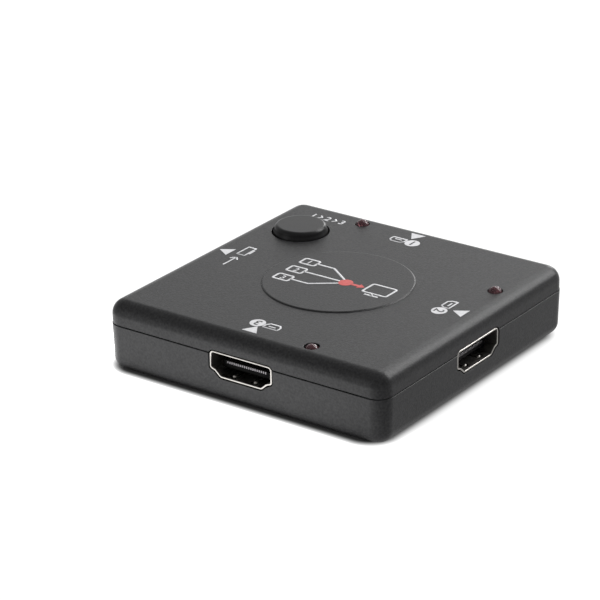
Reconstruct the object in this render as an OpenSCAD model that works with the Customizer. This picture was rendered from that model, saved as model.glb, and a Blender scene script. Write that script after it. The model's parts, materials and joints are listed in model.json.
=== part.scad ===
// Video switch box: three inputs, one output, a select button and three lamps.
// Millimetres, +Z up, origin on the table under the middle of the case.
// Input 3 faces -Y, input 2 faces +X, input 1 faces +Y and the output faces -X.

/* [Case] */
// Width of the square case where the two covers meet
body_w = 66; // [64:0.5:74]
// Height of the top face above the table
body_h = 14.6; // [14.2:0.1:18]
// Height of the line where the two covers meet
parting_h = 9.7; // [9:0.1:10]
// Wall thickness of both covers
wall = 1.8; // [1.5:0.1:2.2]
// Radius of the upright corners, seen from above
corner_r = 3.4; // [3.3:0.1:6]
// Radius of the top edge
top_edge_r = 3; // [2.4:0.1:3.2]
// Radius of the bottom edge
bottom_edge_r = 2.6; // [1:0.1:2.8]
// How far the bottom cover leans in at the table
draft = 0.2; // [0:0.05:0.4]
// How far the top cover stands back from the bottom cover
top_setback = 0.1; // [0:0.05:0.2]
// Open groove between the two covers
parting_gap = 0.1; // [0.05:0.05:0.4]
// Height of the lip that the top cover slips over
lip_h = 1; // [0.6:0.1:1.4]
// Thickness of that lip
lip_t = 0.8; // [0.6:0.05:0.9]
// Clearance round that lip
lip_fit = 0.1; // [0.05:0.05:0.2]

/* [Raised disc] */
// Diameter of the low disc on the top face
disc_d = 31; // [20:0.5:36]
// Height of the disc above the top face
disc_h = 0.25; // [0.2:0.05:0.8]
// Radius of the edge of the disc
disc_edge_r = 0.5; // [0.1:0.05:0.6]

/* [Select button] */
// Diameter of the hole in the top cover
button_hole_d = 12.1; // [10:0.1:13]
// Clearance between the button and its hole, on the radius
button_gap = 0.3; // [0.2:0.05:0.5]
// Height of the button above the top face
button_rise = 1.6; // [1:0.1:2.5]
// Radius of the edge of the crown
button_edge_r = 0.9; // [0.4:0.1:1]
// How far the side of the crown leans in
button_taper = 0.3; // [0.1:0.05:0.5]
// Distance from the output side of the case to the middle of the button
button_from_output = 11; // [10.5:0.1:14]
// Distance from the input 1 side of the case to the middle of the button
button_from_input = 15.1; // [14.5:0.1:17]
// Travel of the button when it is pressed
button_travel = 0.3; // [0.2:0.05:0.4]
// Width of the flange that keeps the button in the case
button_flange_w = 1.2; // [0.8:0.1:1.6]
// Thickness of that flange
button_flange_t = 0.8; // [0.6:0.1:1]
// Play between the flange and the roof of the case
button_play = 0.15; // [0.1:0.05:0.3]
// Thickness of the button's skin
button_skin = 1.1; // [0.9:0.1:1.4]
// Diameter of the stem under the button
stem_d = 3; // [2:0.1:3.4]
// Clearance between the flange and the collar that guides it
collar_gap = 0.3; // [0.2:0.05:0.5]
// Thickness of the collar
collar_t = 0.9; // [0.7:0.1:1.2]
// How far the collar reaches below the flange of the pressed button
collar_spare = 0.7; // [0.4:0.1:1]

/* [Lamps] */
// Diameter of the lamp holes
lamp_hole_d = 3.1; // [2.9:0.1:3.6]
// Clearance between a lamp and its hole, on the radius
lamp_gap = 0.1; // [0.05:0.01:0.2]
// Distance from the side of the case to a lamp
lamp_inset = 4.8; // [4.7:0.1:6]
// Distance from the middle line of that side to the lamp
lamp_offset = 13.5; // [12:0.1:16]
// Height of the tips of lamps 1 and 2 above the top face
lamp_tip = 0.9; // [0:0.1:1.1]
// Height of the tip of lamp 3 above the top face
low_lamp_tip = 0.4; // [0:0.1:1.1]
// Height of a lamp with its flange
lamp_h = 5; // [4.5:0.1:5.4]
// How far the flange of a lamp stands out
lamp_flange_w = 0.3; // [0.2:0.05:0.5]
// Thickness of that flange
lamp_flange_t = 0.9; // [0.6:0.1:1.2]
// Wall of the ring that guides a lamp
lamp_ring_t = 0.8; // [0.6:0.1:1.1]
// Depth of that ring below the roof
lamp_ring_h = 0.8; // [0.5:0.1:1]
// Distance between the two leads of a lamp
lamp_lead_pitch = 2; // [1.6:0.1:2.2]

/* [Video sockets] */
// Width of the mouth inside the shell
mouth_w = 14; // [13.8:0.05:14.2]
// Height of the mouth inside the shell
mouth_h = 4.55; // [4.5:0.01:4.6]
// Radius of the two top corners of the mouth
mouth_top_r = 0.5; // [0.3:0.1:0.8]
// Height of the straight sides of the mouth
mouth_side_h = 3.05; // [2.8:0.05:3.2]
// Radius of the corner below a straight side
shoulder_r = 0.25; // [0.1:0.05:0.3]
// Distance between the two hollow corners of the shoulders
shoulder_w = 12; // [11.6:0.1:12.4]
// Drop from the top of the mouth to the hollow corners
shoulder_drop = 3.42; // [3.3:0.01:3.5]
// Radius of the hollow corners
hollow_r = 0.75; // [0.7:0.05:0.9]
// Distance between the two bottom corners of the mouth
foot_w = 9.5; // [9.2:0.1:9.8]
// Radius of the bottom corners
foot_r = 0.7; // [0.4:0.1:0.9]
// Thickness of the shell's sheet metal
shell_t = 0.38; // [0.3:0.02:0.45]
// Length of the shell
shell_l = 11.5; // [11:0.1:13]
// How far the rim of the shell lies behind the side of the case
rim_setback = 0.15; // [0:0.05:0.4]
// Clearance between the shell and the case
socket_gap = 0.2; // [0.1:0.05:0.25]
// Distance between the middles of the two spring fingers
finger_pitch = 5; // [4.6:0.1:5.6]
// Width of a spring finger
finger_w = 1; // [1:0.1:1.6]
// Slot round a spring finger
finger_slot = 0.3; // [0.2:0.05:0.4]
// Depth behind the rim at which the fingers end
finger_tip = 1.05; // [0.7:0.05:1.2]
// Depth behind the rim at which the fingers start
finger_root = 6.2; // [5.5:0.1:7]
// Radius of the round bump at the end of a finger
bump_r = 0.45; // [0.35:0.05:0.45]
// Rise of the bump above the floor of the mouth
bump_rise = 0.3; // [0.2:0.05:0.4]
// Width of the four legs of a shell
leg_w = 1.2; // [0.8:0.1:1.6]
// Depth behind the rim of the front legs
front_leg_depth = 4.2; // [3.8:0.1:5]
// Depth behind the rim of the back legs
back_leg_depth = 9.6; // [9:0.1:10.4]
// Clearance of the legs in the board, all round
leg_gap = 0.15; // [0.1:0.05:0.3]
// Clearance between the shell and the insulator
insulator_fit = 0.05; // [0.02:0.01:0.1]
// Depth behind the rim at which the block of the insulator starts
block_depth = 7.4; // [7:0.1:8.5]
// Depth behind the rim at which the tongue starts
tongue_depth = 2.05; // [1.3:0.05:2.2]
// Width of the tongue
tongue_w = 10.9; // [10.5:0.1:11.2]
// Thickness of the tongue
tongue_t = 1.5; // [1.3:0.1:1.6]
// Drop from the top of the mouth to the top of the tongue
tongue_drop = 2.05; // [2:0.05:2.25]
// Bevel at the front of the tongue
tongue_bevel = 0.3; // [0.1:0.05:0.4]
// Number of contacts in a socket
contact_count = 19; // [9:1:19]
// Distance between the middles of two contacts
contact_pitch = 0.5; // [0.5:0.01:0.55]
// Width of a contact
contact_w = 0.28; // [0.2:0.02:0.32]
// Thickness of a contact
contact_t = 0.15; // [0.1:0.01:0.2]
// How far a contact stands out of the tongue
contact_proud = 0.05; // [0.02:0.01:0.08]
// Height of the nose of a contact, bent down over the front of the tongue
contact_nose = 0.5; // [0.3:0.05:0.7]
// Clearance round a contact in the insulator
contact_fit = 0.02; // [0.01:0.01:0.04]
// Gap between the back of the insulator and the tails of the contacts
tail_gap = 0.15; // [0.1:0.05:0.3]
// Length of the foot that is soldered to the board
tail_foot = 0.9; // [0.6:0.1:1.2]

/* [Circuit board] */
// Height of the top of the board above the table
board_top = 5; // [4.9:0.05:5.2]
// Thickness of the board
board_t = 1.6; // [1.2:0.1:1.6]
// Clearance between the board and the walls
board_gap = 0.8; // [0.4:0.1:1]
// Length of leads and legs below the board
lead_below = 0.7; // [0.4:0.1:0.8]
// Width of a square wire lead
lead_w = 0.5; // [0.4:0.05:0.6]
// Clearance of a lead in its hole
lead_gap = 0.1; // [0.05:0.05:0.2]

/* [Screws] */
// Distance from the sides of the case to the screws
screw_inset = 6.2; // [6:0.1:7]
// Diameter of the screw thread
screw_d = 1.9; // [1.7:0.1:2.2]
// Length of the screw below its head
screw_l = 8; // [6:0.5:8.5]
// Diameter of the screw head
screw_head_d = 3.8; // [3.4:0.1:4]
// Height of the screw head
screw_head_h = 1.3; // [1:0.1:1.5]
// Height of the seat of the screw head above the table
screw_seat = 1.9; // [1.6:0.1:2.1]
// Width of the cross in the screw head
cross_w = 0.45; // [0.3:0.05:0.6]
// Span of the cross
cross_span = 2.1; // [1.6:0.1:2.4]
// Depth of the cross
cross_depth = 0.7; // [0.4:0.1:0.8]
// Clearance round the screw head, on the radius
head_gap = 0.3; // [0.2:0.05:0.4]
// Clearance round the thread where it passes through, on the radius
shank_gap = 0.25; // [0.15:0.05:0.3]
// Clearance round the thread in the boss that it holds, on the radius
thread_fit = 0.04; // [0.02:0.01:0.08]
// Room above the end of the screw
screw_room = 0.6; // [0.3:0.1:1]
// Wall of the bosses round the screws
boss_t = 1.4; // [1.1:0.1:1.5]

/* [Tact switch] */
// Width of the switch
tact_w = 6; // [5.6:0.1:6.2]
// Height of the base
tact_base_h = 3.2; // [3:0.1:3.6]
// Thickness of the cover plate
tact_plate_t = 0.3; // [0.2:0.05:0.4]
// Height of the top of the plunger above the board
tact_h = 5; // [4.6:0.1:5.2]
// Diameter of the plunger
plunger_d = 3.4; // [3:0.1:3.6]
// Running clearance of the plunger, on the radius
plunger_fit = 0.08; // [0.05:0.01:0.1]
// Width of the flange that keeps the plunger in the switch
plunger_flange_w = 0.4; // [0.3:0.05:0.5]
// Thickness of that flange
plunger_flange_t = 0.5; // [0.4:0.05:0.6]
// Diameter of the nub under the plunger
nub_d = 1.2; // [0.8:0.1:1.6]
// Diameter of the well in the base
well_d = 4.8; // [4.6:0.1:5]
// Depth of the well
well_h = 2.1; // [1.9:0.1:2.2]
// Diameter of the snap dome
dome_d = 4.4; // [4:0.1:4.5]
// Height of the snap dome
dome_h = 0.7; // [0.6:0.05:0.8]
// Thickness of the snap dome
dome_t = 0.1; // [0.08:0.01:0.12]
// Slack between the nub, the dome and the flange
tact_slack = 0.03; // [0.01:0.01:0.05]
// Diameter of the four rivets on the cover plate
rivet_d = 0.9; // [0.7:0.1:1]
// Distance from the sides of the switch to the rivets
rivet_inset = 0.75; // [0.6:0.05:0.8]
// Height of the rivets above the cover plate
rivet_rise = 0.15; // [0.1:0.05:0.2]
// Clearance round a rivet, on the radius
rivet_fit = 0.03; // [0.02:0.01:0.06]
// Distance between the terminals on one side
terminal_pitch = 4.5; // [4:0.1:4.6]
// Width of a terminal
terminal_w = 0.7; // [0.5:0.05:0.8]
// Thickness of a terminal
terminal_t = 0.3; // [0.2:0.05:0.4]
// Height of the terminals above the board where they leave the base
terminal_rise = 0.8; // [0.5:0.1:1.2]
// How far the terminals reach out from the base
terminal_reach = 0.6; // [0.5:0.05:0.8]

/* [Chips] */
// Width of the switching chip
chip_w = 10; // [9:0.5:12]
// Thickness of the switching chip
chip_t = 1.3; // [1:0.1:1.6]
// Leads on each side of the switching chip
chip_lead_count = 16; // [8:1:16]
// Distance between two of those leads
chip_pitch = 0.5; // [0.45:0.05:0.55]
// Length of a memory chip
memory_l = 4.9; // [4.6:0.1:5.2]
// Width of a memory chip
memory_w = 3.9; // [3.7:0.1:4.1]
// Thickness of a memory chip
memory_t = 1.4; // [1.2:0.1:1.6]
// Leads on each side of a memory chip
memory_lead_count = 4; // [3:1:4]
// Distance between two of those leads
memory_pitch = 1.27; // [1:0.01:1.3]
// Distance of the regulator from the middle lines of the board
regulator_out = 14; // [13:0.5:15]
// Length of the regulator
regulator_l = 6.5; // [6:0.1:7]
// Width of the regulator
regulator_w = 3.5; // [3.2:0.1:3.8]
// Thickness of the regulator
regulator_t = 1.6; // [1.4:0.1:1.8]
// Leads on the narrow side of the regulator
regulator_lead_count = 3; // [2:1:3]
// Distance between two of those leads
regulator_pitch = 2.3; // [2:0.1:2.5]
// Width of the wide lead of the regulator
regulator_tab_w = 3; // [2.6:0.1:3.4]
// Gap between a chip and the board
chip_stand = 0.1; // [0.05:0.05:0.2]
// Thickness of a chip's leads
chip_lead_t = 0.15; // [0.1:0.01:0.2]
// Width of the fine leads
fine_lead_w = 0.22; // [0.15:0.01:0.3]
// Width of the coarse leads
coarse_lead_w = 0.42; // [0.3:0.02:0.6]
// How far a lead reaches out
chip_lead_reach = 1; // [0.8:0.1:1.2]
// Length of the foot of a lead
chip_lead_foot = 0.5; // [0.4:0.05:0.6]

/* [Small parts] */
// Length of a capacitor with its end caps
cap_l = 1.6; // [1.4:0.1:1.8]
// Width of a capacitor
cap_w = 0.8; // [0.7:0.1:1]
// Height of a capacitor
cap_h = 0.8; // [0.6:0.1:1]
// Distance from the middle of the board to the capacitors
cap_out = 8; // [7.6:0.1:8.4]
// Distance from the middle lines of the board to the capacitors
cap_offset = 3; // [2:0.1:4]
// Length of a resistor with its end caps
resistor_l = 1; // [0.9:0.1:1.2]
// Width of a resistor
resistor_w = 0.5; // [0.4:0.05:0.6]
// Height of a resistor
resistor_h = 0.35; // [0.3:0.05:0.5]
// Gap between the resistors and the tails of the contacts
resistor_gap = 1; // [0.8:0.1:1.2]
// Resistors behind each input
resistor_count = 8; // [4:1:8]
// Distance between two resistors
resistor_pitch = 1; // [0.9:0.05:1.2]
// Length of the end caps
cap_end = 0.25; // [0.2:0.05:0.3]

/* [Hidden] */
$fn = 96;
arc_steps = 6;
join = 0.01;
SOCKETS = [["input_1", 180], ["input_2", 90], ["input_3", 0], ["output", 270]];
INPUTS = [for (s = SOCKETS) if (s[0] != "output") s[1]];
LAMPS = ["lamp_1", "lamp_2", "lamp_3"];

// Case
side_l = body_w - 2 * corner_r;
roof_z = body_h - wall;
seam_z = parting_h + parting_gap;
lip_top = parting_h + lip_h;
// Select button
button_at = [button_from_output - body_w / 2, body_w / 2 - button_from_input];
button_r = button_hole_d / 2 - button_gap;
button_top = body_h + button_rise;
crown_r = button_r - button_taper;
hollow_top = button_top - button_skin;
flange_r = button_hole_d / 2 + button_flange_w;
flange_top = roof_z - button_play;
collar_r = flange_r + collar_gap;
collar_z = flange_top - button_flange_t - button_travel - collar_spare;
// Lamps
lamp_r = lamp_hole_d / 2 - lamp_gap;
lamp_out = body_w / 2 - lamp_inset;
lamp_tips = [lamp_tip, lamp_tip, low_lamp_tip];
// Video sockets
rim_y = body_w / 2 - rim_setback;
mouth_floor = board_top + shell_t;
mouth_top = mouth_floor + mouth_h;
tongue_top = mouth_top - tongue_drop;
contact_top = tongue_top + contact_proud;
contact_front = tongue_depth - contact_proud;
tail_depth = shell_l + tail_gap;
contact_span = (contact_count - 1) * contact_pitch;
leg_x = (mouth_w + shell_t) / 2;
leg_depths = [front_leg_depth, back_leg_depth];
bump_depth = finger_tip + bump_r;
// Circuit board
board_bottom = board_top - board_t;
board_w = body_w - 2 * (wall + draft + board_gap);
lead_end = board_bottom - lead_below;
lead_hole_d = norm([lead_w, lead_w]) + 2 * lead_gap;
// Screws
screw_at = body_w / 2 - screw_inset;
screw_r = screw_d / 2;
boss_r = screw_r + thread_fit + boss_t;
head_room_r = screw_head_d / 2 + head_gap;
screw_end = screw_seat + screw_l;
// Tact switch
plate_z = board_top + tact_base_h;
well_z = plate_z - well_h;
plunger_top = board_top + tact_h;
plunger_r = plunger_d / 2;
rivet_at = tact_w / 2 - rivet_inset;
dome_top = well_z + dome_h;
flange_z = plate_z - tact_slack - plunger_flange_t;
dome_sphere_r = (pow(dome_d / 2, 2) + pow(dome_h, 2)) / (2 * dome_h);
terminal_x = (tact_w + terminal_reach) / 2 + (terminal_reach - terminal_t) / 2;
terminal_hole_d = norm([terminal_w, terminal_t]) + 2 * lead_gap;
// Small parts
chip_lead_z = board_top + chip_stand + chip_t / 2;
resistor_out = rim_y - tail_depth - contact_t - tail_foot - resistor_gap - resistor_l / 2;
memory_out = (cap_out + cap_w / 2 + resistor_out - resistor_l / 2) / 2;

// Arcs of the socket outline

function unit(v) = v / norm(v);
function left_of(v) = [-v.y, v.x];
function spun(v, a) = [v.x * cos(a) - v.y * sin(a), v.x * sin(a) + v.y * cos(a)];
function bend(a, b) = atan2(a.x * b.y - a.y * b.x, a * b);
function way(p, q) = unit([q.x - p.x, q.y - p.y]);
function place(c) = [c.x, c.y];

// Corners of the mouth as [x, z, radius], clockwise from the top right
function mouth_right() = [
    [mouth_w / 2, mouth_top, mouth_top_r],
    [mouth_w / 2, mouth_top - mouth_side_h, shoulder_r],
    [shoulder_w / 2, mouth_top - shoulder_drop, hollow_r],
    [foot_w / 2, mouth_floor, foot_r]
];
function mouth_corners() =
    let (right = mouth_right(), last = len(right) - 1)
    concat(right, [for (i = [last:-1:0]) [-right[i].x, right[i].y, right[i].z]]);

// The same corner when every side of the outline moves out by grow
function grown(before, here, after, grow) =
    let (a = way(before, here), b = way(here, after))
    let (shift = (left_of(a) + left_of(b)) / (1 + a * b))
    [here.x + grow * shift.x, here.y + grow * shift.y, here.z - sign(bend(a, b)) * grow];
function around(list, i) = list[(i + len(list)) % len(list)];
function rounded(before, here, after) =
    let (a = way(before, here), b = way(here, after), turn = bend(a, b), r = here.z)
    let (start = place(here) - a * r * tan(abs(turn) / 2), hub = start + sign(turn) * r * left_of(a))
    [for (i = [0:arc_steps]) hub + spun(start - hub, turn * i / arc_steps)];
function mouth_outline(grow) =
    let (raw = mouth_corners(), last = len(raw) - 1)
    let (all = [for (i = [0:last]) grown(around(raw, i - 1), raw[i], around(raw, i + 1), grow)])
    [for (i = [0:last]) each rounded(around(all, i - 1), all[i], around(all, i + 1))];

// Helpers

// Carries a half section, drawn as distance out and height, round the plan of the case
module round_case() {
    for (turn = [0:3])
        rotate(90 * turn)
            translate([side_l / 2, side_l / 2, 0]) {
                rotate_extrude(angle = 90) children();
                rotate([90, 0, 0]) linear_extrude(side_l) children();
            }
}

// Half section of a box with a rounded top edge, which its own width may limit
module edge_section(reach, round, low, high) {
    edge = min(round, reach - join);
    intersection() {
        union() {
            translate([0, low]) square([reach, high - low - edge]);
            translate([0, low]) square([reach - edge, high - low]);
            translate([reach - edge, high - edge]) circle(edge);
        }
        translate([0, low]) square([reach, high - low]);
    }
}

// A flat square plate that closes the middle of a cover
module middle_plate(low, high) {
    translate([-side_l / 2, -side_l / 2, low]) cube([side_l, side_l, high - low]);
}

// A square ring of four places, a distance out from both middle lines
module at_four(out) {
    for (x = [-out, out], y = [-out, out])
        translate([x, y, 0]) children();
}

// Depth is counted from the rim of a socket inwards
module along_depth(from, to) {
    translate([0, to - rim_y, 0]) rotate([90, 0, 0]) linear_extrude(to - from) children();
}
module across(width) {
    translate([-width / 2, -rim_y, 0]) rotate([90, 0, 90]) linear_extrude(width) children();
}

module tube(r, low, high) {
    translate([0, 0, low]) cylinder(r = r, h = high - low);
}

// The cut in the case round every socket
module socket_cuts() {
    for (s = SOCKETS)
        rotate(s[1])
            along_depth(-wall, block_depth) polygon(mouth_outline(shell_t + socket_gap));
}

module at_button() {
    translate([button_at.x, button_at.y, 0]) children();
}

// Lamp 1 stands beside input 1, lamp 2 beside input 2 and lamp 3 beside input 3
module at_lamp(i) {
    rotate(INPUTS[i]) translate([lamp_offset, -lamp_out, 0]) children();
}

// Leads along two sides of a chip, standing on the board
module lead_row(width, count, pitch, lead_w) {
    low = board_top;
    reach = width / 2 + chip_lead_reach;
    knee = reach - chip_lead_foot;
    for (i = [0:count - 1])
        translate([(i - (count - 1) / 2) * pitch - lead_w / 2, 0, 0])
            rotate([90, 0, 90])
                linear_extrude(lead_w)
                    polygon([
                        [width / 2, chip_lead_z],
                        [knee, chip_lead_z],
                        [knee, low + chip_lead_t],
                        [reach, low + chip_lead_t],
                        [reach, low],
                        [knee - chip_lead_t, low],
                        [knee - chip_lead_t, chip_lead_z - chip_lead_t],
                        [width / 2, chip_lead_z - chip_lead_t]
                    ]);
}
module chip_body(length, width, thick) {
    translate([-length / 2, -width / 2, board_top + chip_stand]) cube([length, width, thick]);
}

// A part with two end caps, or only its middle, lying along X on the board
module small_middle(length, width, height) {
    middle_l = length - 2 * cap_end;
    translate([-middle_l / 2, -width / 2, board_top]) cube([middle_l, width, height]);
}
module small_ends(length, width, height) {
    for (side = [0, 1])
        mirror([side, 0, 0])
            translate([length / 2 - cap_end, -width / 2, board_top]) cube([cap_end, width, height]);
}
module at_capacitors() {
    for (turn = [0:90:270], side = [-1, 1])
        rotate(turn) translate([side * cap_offset, cap_out, 0]) children();
}
module at_resistors() {
    for (turn = INPUTS, i = [0:resistor_count - 1])
        rotate(turn)
            translate([(i - (resistor_count - 1) / 2) * resistor_pitch, -resistor_out, 0])
                rotate(90) children();
}
module at_memory() {
    for (turn = INPUTS)
        rotate(turn) translate([0, -memory_out, 0]) children();
}
module at_regulator() {
    translate([-regulator_out, -regulator_out, 0]) children();
}

// Case

module top_section() {
    difference() {
        edge_section(corner_r - top_setback, top_edge_r, seam_z, body_h);
        edge_section(corner_r - wall, top_edge_r - wall + top_setback, seam_z, roof_z);
        translate([0, seam_z])
            square([corner_r - wall + lip_t + lip_fit, lip_top + lip_fit - seam_z]);
    }
}

module raised_disc() {
    rotate_extrude() edge_section(disc_d / 2, disc_edge_r, body_h - wall / 2, body_h + disc_h);
}

module top_cover() {
    color("#3a3a3c")
        difference() {
            union() {
                round_case() top_section();
                middle_plate(roof_z, body_h);
                raised_disc();
                at_four(screw_at) tube(boss_r, board_top, body_h - wall / 2);
                at_button() tube(collar_r + collar_t, collar_z, body_h - wall / 2);
                for (i = [0:2])
                    at_lamp(i)
                        tube(lamp_hole_d / 2 + lamp_ring_t, roof_z - lamp_ring_h, body_h - wall / 2);
            }
            at_button() tube(button_hole_d / 2, 0, button_top);
            at_button() tube(collar_r, 0, roof_z);
            for (i = [0:2])
                at_lamp(i) tube(lamp_hole_d / 2, 0, button_top);
            at_four(screw_at) tube(screw_r + thread_fit, 0, screw_end + screw_room);
            socket_cuts();
        }
}

module bottom_section() {
    foot = corner_r - draft;
    edge = min(bottom_edge_r, foot - join);
    difference() {
        union() {
            intersection() {
                union() {
                    square([foot - edge, edge]);
                    translate([foot - edge, edge]) circle(edge);
                }
                square([foot, edge]);
            }
            polygon([
                [0, edge],
                [foot, edge],
                [corner_r, parting_h],
                [corner_r - wall + lip_t, parting_h],
                [corner_r - wall + lip_t, lip_top],
                [0, lip_top]
            ]);
        }
        polygon([
            [0, wall],
            [foot - wall, wall],
            [corner_r - wall, parting_h],
            [corner_r - wall, lip_top + join],
            [0, lip_top + join]
        ]);
    }
}

module bottom_cover() {
    color("#343436")
        difference() {
            union() {
                round_case() bottom_section();
                middle_plate(0, wall);
                at_four(screw_at) tube(head_room_r + boss_t, wall / 2, board_bottom);
            }
            at_four(screw_at) {
                tube(screw_r + shank_gap, 0, body_h);
                tube(head_room_r, -join, screw_seat);
            }
            socket_cuts();
        }
}

module case_screws() {
    head_low = screw_seat - screw_head_h;
    color("#8d8d90")
        at_four(screw_at)
            difference() {
                union() {
                    tube(screw_head_d / 2, head_low, screw_seat);
                    tube(screw_r, screw_seat - join, screw_end);
                }
                for (turn = [0, 90])
                    rotate(turn)
                        translate([-cross_span / 2, -cross_w / 2, head_low - join])
                            cube([cross_span, cross_w, cross_depth + join]);
            }
}

// Select button and the switch under it

module select_button() {
    color("#2c2c2e")
        at_button()
            difference() {
                rotate_extrude()
                    union() {
                        edge_section(crown_r, button_edge_r, flange_top, button_top);
                        polygon([
                            [0, flange_top],
                            [button_r, flange_top],
                            [button_r, body_h],
                            [crown_r, button_top - button_edge_r],
                            [0, button_top - button_edge_r]
                        ]);
                        translate([0, flange_top - button_flange_t]) square([flange_r, button_flange_t]);
                        translate([0, plunger_top]) square([stem_d / 2, hollow_top - plunger_top]);
                    }
                difference() {
                    tube(crown_r - button_skin, flange_top - button_flange_t - join, hollow_top);
                    tube(stem_d / 2, 0, button_top);
                }
            }
}

module tact_base() {
    color("#1f1f21")
        at_button() {
            difference() {
                translate([-tact_w / 2, -tact_w / 2, board_top]) cube([tact_w, tact_w, tact_base_h]);
                tube(well_d / 2, well_z, plate_z + join);
            }
            at_four(rivet_at) tube(rivet_d / 2, plate_z - join, plate_z + tact_plate_t + rivet_rise);
        }
}

module tact_plate() {
    color("#c9c9c4")
        at_button()
            difference() {
                translate([-tact_w / 2, -tact_w / 2, plate_z]) cube([tact_w, tact_w, tact_plate_t]);
                tube(plunger_r + plunger_fit, board_top, plunger_top);
                at_four(rivet_at) tube(rivet_d / 2 + rivet_fit, board_top, plunger_top);
            }
}

module tact_plunger() {
    color("#28282a")
        at_button() {
            tube(plunger_r, flange_z, plunger_top);
            tube(plunger_r + plunger_flange_w, flange_z, flange_z + plunger_flange_t);
            tube(nub_d / 2, dome_top + tact_slack, flange_z + join);
        }
}

module tact_dome() {
    hub_z = dome_top - dome_sphere_r;
    color("#d8cfae")
        at_button()
            rotate_extrude()
                intersection() {
                    difference() {
                        translate([0, hub_z]) circle(dome_sphere_r);
                        translate([0, hub_z]) circle(dome_sphere_r - dome_t);
                    }
                    translate([0, well_z]) square([dome_d / 2, dome_h]);
                }
}

module at_terminals() {
    for (side = [0, 1], y = [-terminal_pitch / 2, terminal_pitch / 2])
        mirror([side, 0, 0]) translate([0, y, 0]) children();
}

module tact_terminals() {
    high = board_top + terminal_rise;
    out = tact_w / 2 + terminal_reach;
    color("#cfcfca")
        at_button()
            at_terminals()
                translate([0, terminal_w / 2, 0])
                    rotate([90, 0, 0])
                        linear_extrude(terminal_w)
                            polygon([
                                [tact_w / 2, high],
                                [out, high],
                                [out, lead_end],
                                [out - terminal_t, lead_end],
                                [out - terminal_t, high - terminal_t],
                                [tact_w / 2, high - terminal_t]
                            ]);
}

// Circuit board

module circuit_board() {
    color("#1d5b38")
        difference() {
            translate([-board_w / 2, -board_w / 2, board_bottom]) cube([board_w, board_w, board_t]);
            at_four(screw_at) tube(screw_r + shank_gap, 0, body_h);
            for (s = SOCKETS)
                rotate(s[1])
                    for (depth = leg_depths, side = [-1, 1])
                        translate([side * leg_x, depth - rim_y, board_top])
                            cube([shell_t + 2 * leg_gap, leg_w + 2 * leg_gap, 3 * board_t], center = true);
            for (i = [0:2], side = [-1, 1])
                at_lamp(i) translate([side * lamp_lead_pitch / 2, 0, 0]) tube(lead_hole_d / 2, 0, body_h);
            at_button()
                at_terminals()
                    translate([terminal_x, 0, 0]) tube(terminal_hole_d / 2, 0, body_h);
        }
}

// Video sockets

module finger_slots() {
    for (side = [-1, 1])
        translate([side * finger_pitch / 2, 0, 0])
            across(finger_w + 2 * finger_slot)
                translate([finger_tip - finger_slot, board_top - join])
                    square([finger_root - finger_tip + finger_slot, shell_t + 2 * join]);
}

module spring_fingers() {
    tip_z = board_top + shell_t / 2;
    bump_z = mouth_floor + bump_rise - bump_r;
    for (side = [-1, 1])
        translate([side * finger_pitch / 2, 0, 0]) {
            across(finger_w)
                polygon([
                    [finger_root, board_top],
                    [finger_root, mouth_floor],
                    [bump_depth, tip_z + shell_t],
                    [bump_depth, tip_z]
                ]);
            intersection() {
                translate([0, bump_depth - rim_y, bump_z]) sphere(bump_r);
                translate([-finger_w / 2, bump_depth - finger_w / 2 - rim_y, tip_z])
                    cube([finger_w, finger_w, shell_t + bump_rise]);
            }
        }
}

module socket_shell(turn) {
    color("#d9d6cc")
        rotate(turn) {
            difference() {
                along_depth(0, shell_l)
                    difference() {
                        polygon(mouth_outline(shell_t));
                        polygon(mouth_outline(0));
                    }
                finger_slots();
            }
            spring_fingers();
            for (depth = leg_depths, side = [-1, 1])
                translate([side * leg_x - shell_t / 2, depth - leg_w / 2 - rim_y, lead_end])
                    cube([shell_t, leg_w, mouth_top - mouth_side_h / 2 - lead_end]);
        }
}

// Side view of a contact, as depth and height, larger all round by fit
module contact_section(fit) {
    polygon([
        [contact_front - fit, contact_top + fit],
        [tail_depth + contact_t + fit, contact_top + fit],
        [tail_depth + contact_t + fit, board_top + contact_t],
        [tail_depth + contact_t + tail_foot, board_top + contact_t],
        [tail_depth + contact_t + tail_foot, board_top],
        [tail_depth - fit, board_top],
        [tail_depth - fit, contact_top - contact_t - fit],
        [contact_front + contact_t + fit, contact_top - contact_t - fit],
        [contact_front + contact_t + fit, contact_top - contact_nose - fit],
        [contact_front - fit, contact_top - contact_nose - fit]
    ]);
}

module contact_row(fit) {
    for (i = [0:contact_count - 1])
        translate([i * contact_pitch - contact_span / 2, 0, 0])
            across(contact_w + 2 * fit) contact_section(fit);
}

module socket_insulator(turn) {
    color("#151517")
        rotate(turn)
            difference() {
                union() {
                    along_depth(block_depth, shell_l) polygon(mouth_outline(-insulator_fit));
                    across(tongue_w)
                        polygon([
                            [block_depth + join, tongue_top],
                            [tongue_depth, tongue_top],
                            [tongue_depth, tongue_top - tongue_t + tongue_bevel],
                            [tongue_depth + tongue_bevel, tongue_top - tongue_t],
                            [block_depth + join, tongue_top - tongue_t]
                        ]);
                }
                contact_row(contact_fit);
            }
}

module socket_contacts(turn) {
    color("#b9b3a4")
        rotate(turn) contact_row(0);
}

// Lamps

module lamp(i) {
    tip = body_h + lamp_tips[i];
    low = tip - lamp_h;
    color("#5c2a35")
        at_lamp(i) {
            tube(lamp_r, low, tip - lamp_r);
            translate([0, 0, tip - lamp_r]) sphere(lamp_r);
            tube(lamp_r + lamp_flange_w, low, low + lamp_flange_t);
        }
}

module lamp_leads(i) {
    high = body_h + lamp_tips[i] - lamp_h;
    color("#cfcfca")
        at_lamp(i)
            for (side = [-1, 1])
                translate([side * lamp_lead_pitch / 2 - lead_w / 2, -lead_w / 2, lead_end])
                    cube([lead_w, lead_w, high - lead_end]);
}

// Chips and small parts

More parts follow.
